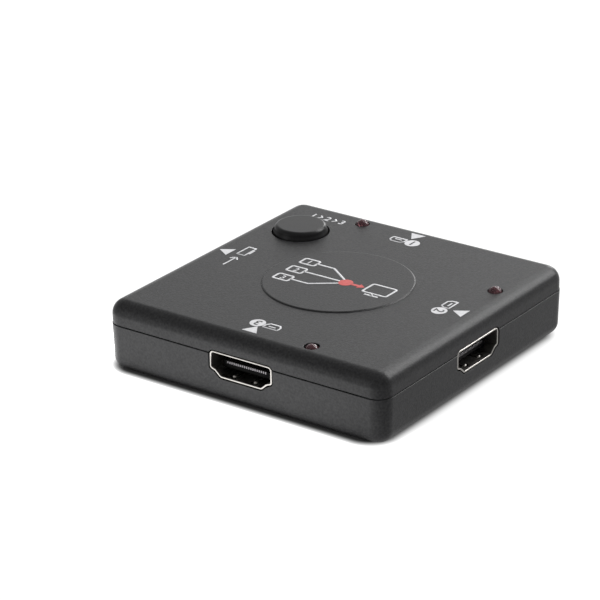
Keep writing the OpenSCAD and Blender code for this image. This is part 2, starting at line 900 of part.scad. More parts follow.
module switching_chip() {
    color("#1a1a1c") chip_body(chip_w, chip_w, chip_t);
}

module switching_chip_leads() {
    color("#cfcfca")
        for (turn = [0:90:270])
            rotate(turn) lead_row(chip_w, chip_lead_count, chip_pitch, fine_lead_w);
}

module memory_chips() {
    color("#1a1a1c")
        at_memory() chip_body(memory_l, memory_w, memory_t);
}

module memory_chip_leads() {
    color("#cfcfca")
        at_memory()
            for (turn = [0, 180])
                rotate(turn) lead_row(memory_w, memory_lead_count, memory_pitch, coarse_lead_w);
}

module regulator() {
    color("#1a1a1c")
        at_regulator() chip_body(regulator_l, regulator_w, regulator_t);
}

module regulator_leads() {
    color("#cfcfca")
        at_regulator() {
            lead_row(regulator_w, regulator_lead_count, regulator_pitch, coarse_lead_w);
            rotate(180) lead_row(regulator_w, 1, regulator_pitch, regulator_tab_w);
        }
}

module capacitors() {
    color("#a5835a")
        at_capacitors() small_middle(cap_l, cap_w, cap_h);
}

module capacitor_ends() {
    color("#cfcfca")
        at_capacitors() small_ends(cap_l, cap_w, cap_h);
}

module resistors() {
    color("#202022")
        at_resistors() small_middle(resistor_l, resistor_w, resistor_h);
}

module resistor_ends() {
    color("#cfcfca")
        at_resistors() small_ends(resistor_l, resistor_w, resistor_h);
}

top_cover();
bottom_cover();
case_screws();
select_button();
circuit_board();
tact_base();
tact_plate();
tact_plunger();
tact_dome();
tact_terminals();
for (s = SOCKETS) {
    socket_shell(s[1]);
    socket_insulator(s[1]);
    socket_contacts(s[1]);
}
for (i = [0:2]) {
    lamp(i);
    lamp_leads(i);
}
switching_chip();
switching_chip_leads();
memory_chips();
memory_chip_leads();
regulator();
regulator_leads();
capacitors();
capacitor_ends();
resistors();
resistor_ends();
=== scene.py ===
# %% [markdown]
# # A video switch box
# The box joins three video sources to one screen. Its solids come from the part's
# CAD source, and they are loaded here as a fixed frame that is never moved. The
# cells below dress that frame: softened copies of the mouldings, the stamped
# sockets, the lamps, the printed marks, the finishes, a floor, lights and a camera.

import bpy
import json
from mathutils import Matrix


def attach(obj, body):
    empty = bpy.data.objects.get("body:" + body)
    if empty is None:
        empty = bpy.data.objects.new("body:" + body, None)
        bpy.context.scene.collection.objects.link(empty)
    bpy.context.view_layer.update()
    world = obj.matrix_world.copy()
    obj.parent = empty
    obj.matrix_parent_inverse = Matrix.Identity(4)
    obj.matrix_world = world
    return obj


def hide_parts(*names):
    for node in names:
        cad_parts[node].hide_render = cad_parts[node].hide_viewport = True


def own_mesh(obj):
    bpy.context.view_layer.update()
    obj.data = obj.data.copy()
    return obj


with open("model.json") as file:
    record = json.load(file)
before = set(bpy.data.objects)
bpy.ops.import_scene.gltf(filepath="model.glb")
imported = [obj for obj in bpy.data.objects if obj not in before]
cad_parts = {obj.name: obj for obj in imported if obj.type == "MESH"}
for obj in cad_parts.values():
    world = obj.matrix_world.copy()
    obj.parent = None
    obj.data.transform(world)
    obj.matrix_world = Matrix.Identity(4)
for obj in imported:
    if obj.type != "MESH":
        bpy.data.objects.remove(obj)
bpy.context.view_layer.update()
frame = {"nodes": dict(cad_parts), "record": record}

# %% [markdown]
# Blender works in metres. The sizes of this small box read better in millimetres,
# so each length below is written in millimetres and multiplied by MM.

# %% Tools and units
import json
import math

import bmesh
import bpy
from mathutils import Matrix, Vector

MM = 0.001
scene = bpy.context.scene
scene.view_settings.view_transform = "Standard"

# %% [markdown]
# ## Camera
# The photo was taken from the right, a little above the box, with a long lens. The
# corners, the socket rims and the round disc were matched to the solids, which gave
# the two angles, the roll, the focal length in pixels and the point looked at.

# %% Camera
FRAME_PX = 600
FOCAL_PX = 2782.685
SENSOR = 36
AZIMUTH, ELEVATION, ROLL = (math.radians(a) for a in (35.8538, 23.4266, -0.8051))
TARGET = Vector((23.0333, -44.9678, 32.4224)) * MM
DISTANCE = 500 * MM


def add_object(name, data):
    """Puts new data in the scene as an object at the origin."""
    made = bpy.data.objects.new(name, data)
    scene.collection.objects.link(made)
    return made


def direction(azimuth, elevation):
    """Points from the box at a place seen under these angles; azimuth 0 is in front."""
    level = math.cos(elevation)
    return Vector((math.sin(azimuth) * level, -math.cos(azimuth) * level, math.sin(elevation)))


def photo_camera():
    back = direction(AZIMUTH, ELEVATION)
    level = Vector((math.cos(AZIMUTH), math.sin(AZIMUTH), 0))
    rise = back.cross(level)
    right = math.cos(ROLL) * level + math.sin(ROLL) * rise
    up = math.cos(ROLL) * rise - math.sin(ROLL) * level
    place = TARGET + DISTANCE * back
    data = bpy.data.cameras.new("photo_camera")
    data.sensor_width = SENSOR
    data.lens = FOCAL_PX / FRAME_PX * SENSOR
    camera = add_object("photo_camera", data)
    camera.matrix_world = Matrix((right, up, back)).transposed().to_4x4()
    camera.location = place
    return camera


scene.camera = photo_camera()
print("camera at, mm:", [round(1000 * c, 1) for c in scene.camera.location])

# %% [markdown]
# ## Finishes
# Every finish is one Principled shader. Values that are the same all over are set on
# the shader itself. What varies comes from noise in Object coordinates, which are
# metres here, so a noise scale of 5000 gives grains of about a fifth of a millimetre.
# Three small helpers add what real surfaces have: patches of colour, uneven gloss
# and a fine relief.

# %% Helpers for finishes
SHADE_FROM, SHADE_TO = 0.35, 0.65
GLOSS_FROM, GLOSS_TO = 0.3, 0.7


def new_finish(name, colour, roughness, **values):
    material = bpy.data.materials.new(name)
    material.use_nodes = True
    shader = material.node_tree.nodes["Principled BSDF"]
    shader.inputs["Base Color"].default_value = (*colour, 1)
    shader.inputs["Roughness"].default_value = roughness
    for label, value in values.items():
        shader.inputs[label.replace("_", " ")].default_value = value
    return material


def noise_of(material, scale, detail=3.0, stretch=(1, 1, 1)):
    """A noise pattern on the object's own coordinates; stretch draws it out."""
    nodes, links = material.node_tree.nodes, material.node_tree.links
    place = nodes.new("ShaderNodeTexCoord")
    mapping = nodes.new("ShaderNodeMapping")
    mapping.inputs["Scale"].default_value = stretch
    noise = nodes.new("ShaderNodeTexNoise")
    noise.inputs["Scale"].default_value = scale
    noise.inputs["Detail"].default_value = detail
    links.new(place.outputs["Object"], mapping.inputs["Vector"])
    links.new(mapping.outputs["Vector"], noise.inputs["Vector"])
    return noise


def mottle(material, low, high, scale, stretch=(1, 1, 1)):
    """Lets the colour drift between two shades."""
    nodes, links = material.node_tree.nodes, material.node_tree.links
    noise = noise_of(material, scale, 4, stretch)
    ramp = nodes.new("ShaderNodeValToRGB")
    ramp.color_ramp.elements[0].position = SHADE_FROM
    ramp.color_ramp.elements[0].color = (*low, 1)
    ramp.color_ramp.elements[1].position = SHADE_TO
    ramp.color_ramp.elements[1].color = (*high, 1)
    links.new(noise.outputs["Fac"], ramp.inputs["Fac"])
    links.new(ramp.outputs["Color"], nodes["Principled BSDF"].inputs["Base Color"])


def uneven_gloss(material, low, high, scale, stretch=(1, 1, 1)):
    """Lets the roughness drift between two values."""
    nodes, links = material.node_tree.nodes, material.node_tree.links
    noise = noise_of(material, scale, 4, stretch)
    span = nodes.new("ShaderNodeMapRange")
    span.inputs["From Min"].default_value = GLOSS_FROM
    span.inputs["From Max"].default_value = GLOSS_TO
    span.inputs["To Min"].default_value = low
    span.inputs["To Max"].default_value = high
    links.new(noise.outputs["Fac"], span.inputs["Value"])
    links.new(span.outputs["Result"], nodes["Principled BSDF"].inputs["Roughness"])


def relief(material, scale, depth, stretch=(1, 1, 1)):
    """Adds a fine relief of that depth, in metres."""
    nodes, links = material.node_tree.nodes, material.node_tree.links
    noise = noise_of(material, scale, 2, stretch)
    bump = nodes.new("ShaderNodeBump")
    bump.inputs["Distance"].default_value = depth
    links.new(noise.outputs["Fac"], bump.inputs["Height"])
    links.new(bump.outputs["Normal"], nodes["Principled BSDF"].inputs["Normal"])


# %% [markdown]
# The covers are black ABS from a mould with a fine spark-eroded texture. It is matte,
# but not dead: at a low angle it shows a grey sheen. The button comes from a finer
# mould, so its texture is flatter and its gloss a little higher.

# %% Plastics
case_plastic = new_finish("case_plastic", (0.012, 0.012, 0.0125), 0.36, Specular_IOR_Level=0.1)
mottle(case_plastic, (0.008, 0.008, 0.0085), (0.016, 0.016, 0.0165), 2300)
uneven_gloss(case_plastic, 0.32, 0.41, 2900)
relief(case_plastic, 3200, 0.025 * MM)

button_plastic = new_finish("button_plastic", (0.006, 0.006, 0.0063), 0.33, Specular_IOR_Level=0.1)
mottle(button_plastic, (0.005, 0.005, 0.0052), (0.007, 0.007, 0.0073), 3000)
uneven_gloss(button_plastic, 0.3, 0.36, 3400)
relief(button_plastic, 4200, 0.012 * MM)

# The insulators are black plastic, made blacker and less mirroring than the case: partly their own
# colour, partly painted shade for the depth of the socket mouths.
socket_plastic = new_finish(
    "socket_plastic", (0.0015, 0.0015, 0.0016), 0.5, Specular_IOR_Level=0.02
)
mottle(socket_plastic, (0.001, 0.001, 0.0011), (0.002, 0.002, 0.0021), 900)
uneven_gloss(socket_plastic, 0.42, 0.6, 1500)
relief(socket_plastic, 6000, 0.004 * MM)

switch_plastic = new_finish("switch_plastic", (0.02, 0.02, 0.02), 0.5)
mottle(switch_plastic, (0.016, 0.016, 0.016), (0.026, 0.026, 0.026), 900)
uneven_gloss(switch_plastic, 0.42, 0.58, 1500)
relief(switch_plastic, 6000, 0.004 * MM)
print("plastics:", 4)

# %% [markdown]
# The shells of the sockets are stamped from nickel-plated sheet, a warm white metal
# with faint lines from the rolling mill. The contacts, screws and tinned leads are
# duller; the contacts are also set far darker than bare metal, as painted shade for
# their place deep in the socket mouths. The lines are the same noise, drawn out along
# one direction.

# %% Metals
GLOSS_FINER, RELIEF_FINER = 1.7, 4
MILL_RELIEF = 0.002 * MM


def metal(name, low, high, gloss, scale, stretch):
    middle = [(a + b) / 2 for a, b in zip(low, high)]
    made = new_finish(name, middle, sum(gloss) / 2, Metallic=1.0)
    mottle(made, low, high, scale, stretch)
    uneven_gloss(made, *gloss, scale * GLOSS_FINER, stretch)
    relief(made, scale * RELIEF_FINER, MILL_RELIEF, stretch)
    return made


shell_nickel = metal(
    "shell_nickel", (0.205, 0.196, 0.184), (0.248, 0.238, 0.225), (0.28, 0.4), 900, (1, 1, 6)
)
# The contacts' very dark colour is painted shade for the depth of the socket mouths.
contact_metal = metal(
    "contact_metal", (0.08, 0.076, 0.08), (0.11, 0.105, 0.11), (0.3, 0.45), 1500, (1, 1, 3)
)
screw_steel = metal(
    "screw_steel", (0.4, 0.4, 0.41), (0.52, 0.52, 0.53), (0.3, 0.42), 700, (1, 1, 1)
)
tinned_metal = metal(
    "tinned_metal", (0.62, 0.62, 0.6), (0.72, 0.72, 0.7), (0.28, 0.44), 1300, (1, 1, 1)
)
spring_steel = metal(
    "spring_steel", (0.55, 0.53, 0.46), (0.65, 0.63, 0.55), (0.2, 0.3), 1200, (4, 1, 1)
)
lamp_cup = metal(
    "lamp_cup", (0.3, 0.29, 0.28), (0.4, 0.385, 0.37), (0.5, 0.65), 1600, (1, 1, 2)
)
print("metals:", 6)

# %% [markdown]
# The lamps are 3 mm light-emitting diodes that are not lit: clear resin with a dark
# red tint, so a little light goes through to the metal frame inside. The board and
# its parts are closed in the case, and get the finishes that such parts have.

# %% Lamps, board and parts
lamp_resin = new_finish("lamp_resin", (0.2, 0.08, 0.095), 0.24, Transmission_Weight=0.8, IOR=1.25)
mottle(lamp_resin, (0.17, 0.065, 0.08), (0.23, 0.095, 0.11), 1400)
uneven_gloss(lamp_resin, 0.2, 0.28, 1800)
relief(lamp_resin, 3000, 0.001 * MM)

board_laminate = new_finish("board_laminate", (0.008, 0.045, 0.022), 0.35)
mottle(board_laminate, (0.006, 0.036, 0.017), (0.01, 0.055, 0.028), 500)
uneven_gloss(board_laminate, 0.28, 0.42, 900)
relief(board_laminate, 2600, 0.004 * MM)

chip_resin = new_finish("chip_resin", (0.018, 0.018, 0.019), 0.6)
mottle(chip_resin, (0.014, 0.014, 0.015), (0.024, 0.024, 0.025), 2600)
uneven_gloss(chip_resin, 0.52, 0.68, 3000)
relief(chip_resin, 9000, 0.006 * MM)

capacitor_ceramic = new_finish("capacitor_ceramic", (0.4, 0.27, 0.15), 0.5)
mottle(capacitor_ceramic, (0.34, 0.22, 0.12), (0.45, 0.31, 0.18), 3000)
uneven_gloss(capacitor_ceramic, 0.42, 0.58, 3600)

resistor_ceramic = new_finish("resistor_ceramic", (0.02, 0.02, 0.022), 0.3)
mottle(resistor_ceramic, (0.014, 0.014, 0.016), (0.028, 0.028, 0.03), 3200)
uneven_gloss(resistor_ceramic, 0.24, 0.38, 3600)
print("lamp, board and parts:", 5)

# %% [markdown]
# The marks are screen printed. Ink is never quite even: it is thinner over the tops
# of the moulded texture, so its white drifts slightly and its surface has a relief.

# %% Inks
def ink(name, low, high):
    middle = [(a + b) / 2 for a, b in zip(low, high)]
    made = new_finish(name, middle, 0.55, Specular_IOR_Level=0.25)
    mottle(made, low, high, 1800)
    uneven_gloss(made, 0.48, 0.64, 2400)
    relief(made, 5200, 0.004 * MM)
    return made


mark_white = ink("mark_white", (0.36, 0.36, 0.37), (0.41, 0.41, 0.42))
mark_red = ink("mark_red", (0.31, 0.042, 0.039), (0.36, 0.052, 0.048))
mark_black = ink("mark_black", (0.02, 0.02, 0.02), (0.035, 0.035, 0.035))
print("inks:", 3)

# %% [markdown]
# ## Covers, button and shells
# A CAD node is a set of loose triangles. To shade it smoothly and to give its edges
# the small round that every moulding has, a copy is joined first: doubled corners
# are merged and flat areas become whole faces again. The edges that the eye can
# reach are marked, a Bevel modifier rounds them, and a Weighted Normal modifier
# keeps the wide faces flat in the shading. It works only on the corners of those wide
# faces, because on the narrow facets of a round corner it would draw faint wedges.

# %% Joined copies
SMOOTH_BELOW = math.radians(28)
FLAT_WITHIN = math.radians(0.3)
WIDE_FACE = 10 * MM**2
MERGE_WITHIN = 0.0005 * MM


def joined(node, is_seen):
    """A joined copy of a CAD node whose seen sharp edges are marked for the Bevel."""
    source = frame["nodes"][node].data
    work = bmesh.new()
    corners = [work.verts.new(v.co) for v in source.vertices]
    for face in source.polygons:
        work.faces.new([corners[i] for i in face.vertices])
    bmesh.ops.remove_doubles(work, verts=work.verts, dist=MERGE_WITHIN)
    bmesh.ops.dissolve_degenerate(work, dist=MERGE_WITHIN, edges=work.edges)
    bmesh.ops.dissolve_limit(work, angle_limit=FLAT_WITHIN, verts=work.verts, edges=work.edges)
    weight = work.edges.layers.float.new("bevel_weight_edge")
    for edge in work.edges:
        sharp = edge.is_manifold and edge.calc_face_angle(0) > SMOOTH_BELOW
        seen = sharp and is_seen(*(v.co / MM for v in edge.verts))
        edge[weight] = 1.0 if seen else 0.0
        edge.smooth = seen or not sharp
    wide = work.verts.layers.deform.verify()
    for face in work.faces:
        face.smooth = True
        if face.calc_area() > WIDE_FACE:
            for corner in face.verts:
                corner[wide][0] = 1.0
    mesh = bpy.data.meshes.new(node)
    work.to_mesh(mesh)
    work.free()
    return mesh


def modified(mesh, *modifiers):
    """The mesh after some modifiers, as (type, values), with none left on it."""
    carrier = add_object("carrier", mesh)
    carrier.vertex_groups.new(name="wide")
    for kind, values in modifiers:
        modifier = carrier.modifiers.new(kind.lower(), kind)
        for label, value in values.items():
            setattr(modifier, label, value)
    bpy.context.view_layer.update()
    graph = bpy.context.evaluated_depsgraph_get()
    made = bpy.data.meshes.new_from_object(carrier.evaluated_get(graph))
    bpy.data.objects.remove(carrier)
    return made


def softened(node, width, is_seen):
    """A joined copy whose seen edges have a round of that width, in millimetres."""
    edge_round = {
        "limit_method": "WEIGHT",
        "width": width * MM,
        "segments": 2,
        "use_clamp_overlap": False,
        "harden_normals": True,
    }
    normals = {"vertex_group": "wide", "weight": 100, "keep_sharp": True}
    return modified(joined(node, is_seen), ("BEVEL", edge_round), ("WEIGHTED_NORMAL", normals))


def smoothed(node):
    """A joined copy that is only shaded smoothly: no edge counts as seen."""
    return softened(node, 0.05, lambda *ends: False)


def show(name, mesh, finish, body, slot, *nodes):
    """Makes a finished mesh a piece: its finish, its body and the CAD nodes it stands for."""
    mesh.materials.clear()
    mesh.materials.append(finish)
    piece = add_object(name, mesh)
    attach(piece, body)
    if nodes:
        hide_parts(*nodes)
    print(name, "faces:", len(mesh.polygons))
    return piece


# %% [markdown]
# On the covers only the outer edges are rounded: along the line where the covers
# meet, round the socket cuts, the button hole and the lamp holes. The inside keeps
# its plain CAD edges, because nobody sees them.

# %% Covers
BODY = 66.0
TOP_FACE = 14.6
DISC_R, DISC_TOP = 15.5, 14.85
SKIN = 0.6
PAST_DISC = 0.5
NEAR = 0.01
COVER_ROUND = 0.1


def outside(*ends):
    """True for an edge on the outer skin of the case."""
    at_side = all(max(abs(p.x), abs(p.y)) > BODY / 2 - SKIN for p in ends)
    on_top = all(p.z > TOP_FACE - NEAR for p in ends)
    off_disc = all(math.hypot(p.x, p.y) > DISC_R + PAST_DISC for p in ends)
    at_foot = all(p.z < NEAR for p in ends)
    return at_side or (on_top and off_disc) or at_foot


for node in ("top_cover", "bottom_cover"):
    cover = softened(node, COVER_ROUND, outside)
    show(node + "_moulding", cover, case_plastic, "case", "case_plastic", node)

# %% [markdown]
# The button's crown is a turned shape, round already in the CAD. Only its shading
# needs the joined copy.

# %% Button
button = smoothed("select_button")
show("select_button_cap", button, button_plastic, "button", "button_plastic", "select_button")

# %% [markdown]
# Under the button a small steel dome snaps flat when it is pressed and then pushes the
# button back. No body of the frame can follow that. Here the dome is a smooth joined
# copy of the CAD dome, given a mesh of its own.

# %% Snap dome
dome = smoothed("tact_dome")
snap_dome = show("tact_dome_disc", dome, spring_steel, "case", "spring_steel", "tact_dome")
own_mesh(snap_dome)

# %% [markdown]
# The rim of a stamped shell catches the light on its edges, so both edges of the rim
# get a small round. The four shells are the same part, turned to the four sides.

# %% Shells
RIM_SETBACK = 0.15
RIM = BODY / 2 - RIM_SETBACK
RIM_ROUND = 0.13
SOCKETS = {"input_1": 180, "input_2": 90, "input_3": 0, "output": 270}


def on_rim(*ends):
    """True for an edge at the mouth of a shell."""
    return all(max(abs(p.x), abs(p.y)) > RIM - NEAR for p in ends)


for socket in SOCKETS:
    node = socket + "_shell"
    shell = softened(node, RIM_ROUND, on_rim)
    show(node + "_stamping", shell, shell_nickel, "case", "shell_nickel", node)

# %% [markdown]
# ## Rows and patterns
# Contacts, screws and marks repeat. A Geometry Nodes tree makes each kind once and
# sets copies where they belong, so one number changes the whole row. Two trees do
# it: one puts copies along a straight row, the other puts them on the corners of a
# small mesh of places, each turned by its own angle.

# %% Trees for rows and places
def new_tree(name, sockets):
    """An empty tree with named inputs; returns it and the inputs' identifiers."""
    tree = bpy.data.node_groups.new(name, "GeometryNodeTree")
    known = {}
    for label, kind in sockets.items():
        socket = tree.interface.new_socket(label, in_out="INPUT", socket_type=kind)
        known[label] = socket.identifier
    tree.interface.new_socket("Geometry", in_out="OUTPUT", socket_type="NodeSocketGeometry")
    return tree, known


def chain(tree, *steps):
    """Adds nodes in a row, each one's first output linked to the next one's first input."""
    made = []
    for kind in steps:
        node = tree.nodes.new(kind)
        if made:
            tree.links.new(made[-1].outputs[0], node.inputs[0])
        made.append(node)
    return made


ROW_SOCKETS = {
    "Pattern": "NodeSocketObject",
    "Count": "NodeSocketInt",
    "Pitch": "NodeSocketVector",
    "Start": "NodeSocketVector",
    "Turn": "NodeSocketRotation",
    "Finish": "NodeSocketMaterial",
}


def row_tree():
    """Copies of a pattern along a straight row, the whole row turned round the origin."""
    tree, known = new_tree("row_of_copies", ROW_SOCKETS)
    given = tree.nodes.new("NodeGroupInput")
    pattern = tree.nodes.new("GeometryNodeObjectInfo")
    steps = chain(
        tree,
        "GeometryNodeMeshLine",
        "GeometryNodeInstanceOnPoints",
        "GeometryNodeTransform",
        "GeometryNodeRealizeInstances",
        "GeometryNodeSetMaterial",
        "NodeGroupOutput",
    )
    line, copies, turn, _, finish, _ = steps
    link = tree.links.new
    link(given.outputs["Pattern"], pattern.inputs["Object"])
    link(pattern.outputs["Geometry"], copies.inputs["Instance"])
    link(given.outputs["Count"], line.inputs["Count"])
    link(given.outputs["Pitch"], line.inputs["Offset"])
    link(given.outputs["Start"], line.inputs["Start Location"])
    link(given.outputs["Turn"], turn.inputs["Rotation"])
    link(given.outputs["Finish"], finish.inputs["Material"])
    return tree, known


PLACE_SOCKETS = {
    "Places": "NodeSocketGeometry",
    "Pattern": "NodeSocketObject",
    "Finish": "NodeSocketMaterial",
}


def place_tree():
    """Copies of a pattern on the corners of the carrier mesh, turned by its attribute turn."""
    tree, known = new_tree("copies_on_places", PLACE_SOCKETS)
    given = tree.nodes.new("NodeGroupInput")
    pattern = tree.nodes.new("GeometryNodeObjectInfo")
    angle = tree.nodes.new("GeometryNodeInputNamedAttribute")
    angle.inputs["Name"].default_value = "turn"
    about_z = tree.nodes.new("ShaderNodeCombineXYZ")
    steps = chain(
        tree,
        "GeometryNodeInstanceOnPoints",
        "GeometryNodeRealizeInstances",
        "GeometryNodeSetMaterial",
        "NodeGroupOutput",
    )
    copies, _, finish, _ = steps
    link = tree.links.new
    link(given.outputs["Places"], copies.inputs["Points"])
    link(given.outputs["Pattern"], pattern.inputs["Object"])
    link(pattern.outputs["Geometry"], copies.inputs["Instance"])
    link(angle.outputs["Attribute"], about_z.inputs["Z"])
    link(about_z.outputs["Vector"], copies.inputs["Rotation"])
    link(given.outputs["Finish"], finish.inputs["Material"])
    return tree, known


ROW, ROW_INPUTS = row_tree()
PLACES, PLACE_INPUTS = place_tree()


def grown(tree, known, values, mesh=None):
    """Runs a tree on a carrier and returns the result as a plain mesh."""
    carrier = add_object("carrier", mesh or bpy.data.meshes.new("carrier"))
    modifier = carrier.modifiers.new("tree", "NODES")
    modifier.node_group = tree
    for label, value in values.items():
        modifier[known[label]] = value
    bpy.context.view_layer.update()
    graph = bpy.context.evaluated_depsgraph_get()
    made = bpy.data.meshes.new_from_object(carrier.evaluated_get(graph))
    bpy.data.objects.remove(carrier)
    return made


print("trees:", ROW.name, PLACES.name)

# %% [markdown]
# ## Contacts
# Each socket holds nineteen stamped contacts on its tongue, half a millimetre apart.
# One contact is drawn as a side view and given its width. Its nose is bent down over
# the front of the tongue, in a small round that a plug can slide over. The row tree
# repeats it and turns the row to its side.

# %% Contacts
CONTACT_COUNT = 19
CONTACT_PITCH = 0.5
CONTACT_W = 0.28
CONTACT_T = 0.15
CONTACT_FRONT = 2.0
CONTACT_TOP = 7.93
CONTACT_NOSE = 0.5
NOSE_ROUND = 0.12
BOARD_TOP = 5.0
TAIL = 11.65
TAIL_FOOT = 0.9


def prism(name, outline, place, width):
    """A closed solid from a flat outline; place(a, b, w) gives each corner's point in mm."""
    work = bmesh.new()
    sides = [[work.verts.new(place(a, b, w)) for a, b in outline] for w in (-width / 2, width / 2)]
    work.faces.new(sides[0][::-1])
    work.faces.new(sides[1])
    for i in range(len(outline)):
        j = (i + 1) % len(outline)
        work.faces.new((sides[0][i], sides[0][j], sides[1][j], sides[1][i]))
    bmesh.ops.recalc_face_normals(work, faces=work.faces)
    mesh = bpy.data.meshes.new(name)
    work.to_mesh(mesh)
    work.free()
    return mesh


def contact_outline():
    """Side view of a contact as depth behind the rim and height."""
    hub = CONTACT_FRONT + NOSE_ROUND, CONTACT_TOP - NOSE_ROUND
    bend = [
        (hub[0] - NOSE_ROUND * math.cos(a), hub[1] + NOSE_ROUND * math.sin(a))
        for a in (math.radians(d) for d in (0, 30, 60, 90))
    ]
    back = TAIL + CONTACT_T
    return bend + [
        (back, CONTACT_TOP),
        (back, BOARD_TOP + CONTACT_T),
        (back + TAIL_FOOT, BOARD_TOP + CONTACT_T),
        (back + TAIL_FOOT, BOARD_TOP),
        (TAIL, BOARD_TOP),
        (TAIL, CONTACT_TOP - CONTACT_T),
        (CONTACT_FRONT + CONTACT_T, CONTACT_TOP - CONTACT_T),
        (CONTACT_FRONT + CONTACT_T, CONTACT_TOP - CONTACT_NOSE),
        (CONTACT_FRONT, CONTACT_TOP - CONTACT_NOSE),
    ]


contact = add_object("contact_pattern", prism(
    "contact_pattern",
    contact_outline(),
    lambda depth, height, w: Vector((w, depth - RIM, height)) * MM,
    CONTACT_W,
))
for socket, side in SOCKETS.items():
    row = grown(ROW, ROW_INPUTS, {
        "Pattern": contact,
        "Count": CONTACT_COUNT,
        "Pitch": (CONTACT_PITCH * MM, 0, 0),
        "Start": (-(CONTACT_COUNT - 1) / 2 * CONTACT_PITCH * MM, 0, 0),
        "Turn": (0, 0, math.radians(side)),
        "Finish": contact_metal,
    })
    name = socket + "_contact_row"
    show(name, row, contact_metal, "case", "contact_metal", socket + "_contacts")
bpy.data.objects.remove(contact)

# %% [markdown]
# ## Screws
# Four pan-head screws close the case from below, sunk in round recesses. One screw
# is turned from a profile, its cross is cut by two tapered blades with the Boolean
# modifier, and the places tree sets four copies. Each copy has its own turn, because
# a screw stops wherever it is tight.

# %% Screws
SCREW_AT = 26.8
HEAD_LOW, SCREW_SEAT, SCREW_END = 0.6, 1.9, 9.9
HEAD_R, HEAD_ROUND = 1.9, 0.4
TIP_BEVEL = CUT_PAST = 0.1
THREAD_R, CORE_R, THREAD_PITCH = 0.95, 0.78, 0.7
CROSS_SPAN, CROSS_W, CROSS_DEPTH, CROSS_TAPER = 2.1, 0.45, 0.7, 0.55
SCREW_TURNS = (14, 52, 71, 33)


def turned(name, profile, steps=32):
    """A solid turned round Z from (radius, height) points that start and end on the axis."""
    work = bmesh.new()
    rings = []
    for radius, height in profile:
        spokes = steps if radius else 1
        angles = [2 * math.pi * i / spokes for i in range(spokes)]
        rings.append([
            work.verts.new(Vector((radius * math.cos(a), radius * math.sin(a), height)) * MM)
            for a in angles
        ])
    for low, high in zip(rings, rings[1:]):
        for i in range(steps):
            j = (i + 1) % steps
            ends = low[i % len(low)], low[j % len(low)], high[j % len(high)], high[i % len(high)]
            work.faces.new(list(dict.fromkeys(ends)))
    bmesh.ops.recalc_face_normals(work, faces=work.faces)
    mesh = bpy.data.meshes.new(name)
    work.to_mesh(mesh)
    work.free()
    return mesh


def screw_profile():
    """Half the side view of a screw, from the bottom of its head to its tip."""
    hub = HEAD_R - HEAD_ROUND, HEAD_LOW + HEAD_ROUND
    edge = [
        (hub[0] + HEAD_ROUND * math.sin(a), hub[1] - HEAD_ROUND * math.cos(a))
        for a in (math.radians(d) for d in (0, 22, 45, 67, 90))
    ]
    ridges = round((SCREW_END - SCREW_SEAT) / THREAD_PITCH)
    thread = []
    for i in range(ridges):
        height = SCREW_SEAT + i * THREAD_PITCH
        thread += [(CORE_R, height), (THREAD_R, height + THREAD_PITCH / 2)]
    tip = [(CORE_R, SCREW_END - TIP_BEVEL), (0, SCREW_END)]
    return [(0, HEAD_LOW), *edge, (HEAD_R, SCREW_SEAT), *thread, *tip]


def cross_blade(turn):
    """One tapered blade of the cross, cut up into the head from below."""
    blade = bmesh.new()
    bmesh.ops.create_cube(blade, size=1)
    for corner in blade.verts:
        deep = corner.co.z > 0
        shrink = CROSS_TAPER if deep else 1
        corner.co.x *= CROSS_SPAN * shrink
        corner.co.y *= CROSS_W * shrink
        corner.co.z = HEAD_LOW + (CROSS_DEPTH if deep else -CUT_PAST)
    bmesh.ops.transform(blade, matrix=Matrix.Rotation(turn, 4, "Z"), verts=blade.verts)
    bmesh.ops.scale(blade, vec=(MM, MM, MM), verts=blade.verts)
    mesh = bpy.data.meshes.new("cross_blade")
    blade.to_mesh(mesh)
    blade.free()
    return add_object("cross_blade", mesh)


blades = [cross_blade(turn) for turn in (0, math.pi / 2)]
cuts = [("BOOLEAN", {"object": blade, "solver": "EXACT"}) for blade in blades]
screw = add_object("screw_pattern", modified(turned("screw_pattern", screw_profile()), *cuts))


def spots(name, places):
    """A mesh with one corner for each place, as (x, y, z, turn in degrees)."""
    mesh = bpy.data.meshes.new(name)
    mesh.from_pydata([Vector(place[:3]) * MM for place in places], [], [])
    turn = mesh.attributes.new("turn", "FLOAT", "POINT")
    turn.data.foreach_set("value", [math.radians(place[3]) for place in places])
    return mesh


corners = [(x, y) for x in (-SCREW_AT, SCREW_AT) for y in (-SCREW_AT, SCREW_AT)]
screw_spots = spots("screw_spots", [(x, y, 0, turn) for (x, y), turn in zip(corners, SCREW_TURNS)])
screws = grown(PLACES, PLACE_INPUTS, {"Pattern": screw, "Finish": screw_steel}, screw_spots)
show("case_screws_cross", screws, screw_steel, "case", "screw_steel", "case_screws")
for spare in (*blades, screw):
    bpy.data.objects.remove(spare)

# %% [markdown]
# ## Lamps
# An unlit lamp is a dome of tinted resin. What gives it depth is the metal inside: a
# broad anvil with a small cup beside a thin post, which the resin magnifies. The
# domes are smooth joined copies of the CAD lamps. The metal is drawn once as two flat
# stampings and set in the three lamps by the places tree.

# %% Lamps
LAMP_TIPS = {"lamp_1": 15.5, "lamp_2": 15.5, "lamp_3": 15.0}
LAMP_AT = {"lamp_1": (-13.5, 28.2, 180), "lamp_2": (28.2, 13.5, 90), "lamp_3": (13.5, -28.2, 0)}
FRAME_T = 0.5
ANVIL = [
    (0.0, -3.6), (1.15, -3.6), (1.15, -1.55), (0.85, -1.25),
    (0.6, -1.5), (0.3, -1.5), (0.1, -1.25), (0.0, -1.5),
]
POST = [(-1.15, -3.6), (-0.65, -3.6), (-0.65, -1.9), (-0.3, -1.6), (-0.5, -1.4), (-1.15, -1.7)]


def joined_shapes(name, *meshes):
    """Several meshes in one."""
    work = bmesh.new()
    for mesh in meshes:
        work.from_mesh(mesh)
    made = bpy.data.meshes.new(name)
    work.to_mesh(made)
    work.free()
    return made


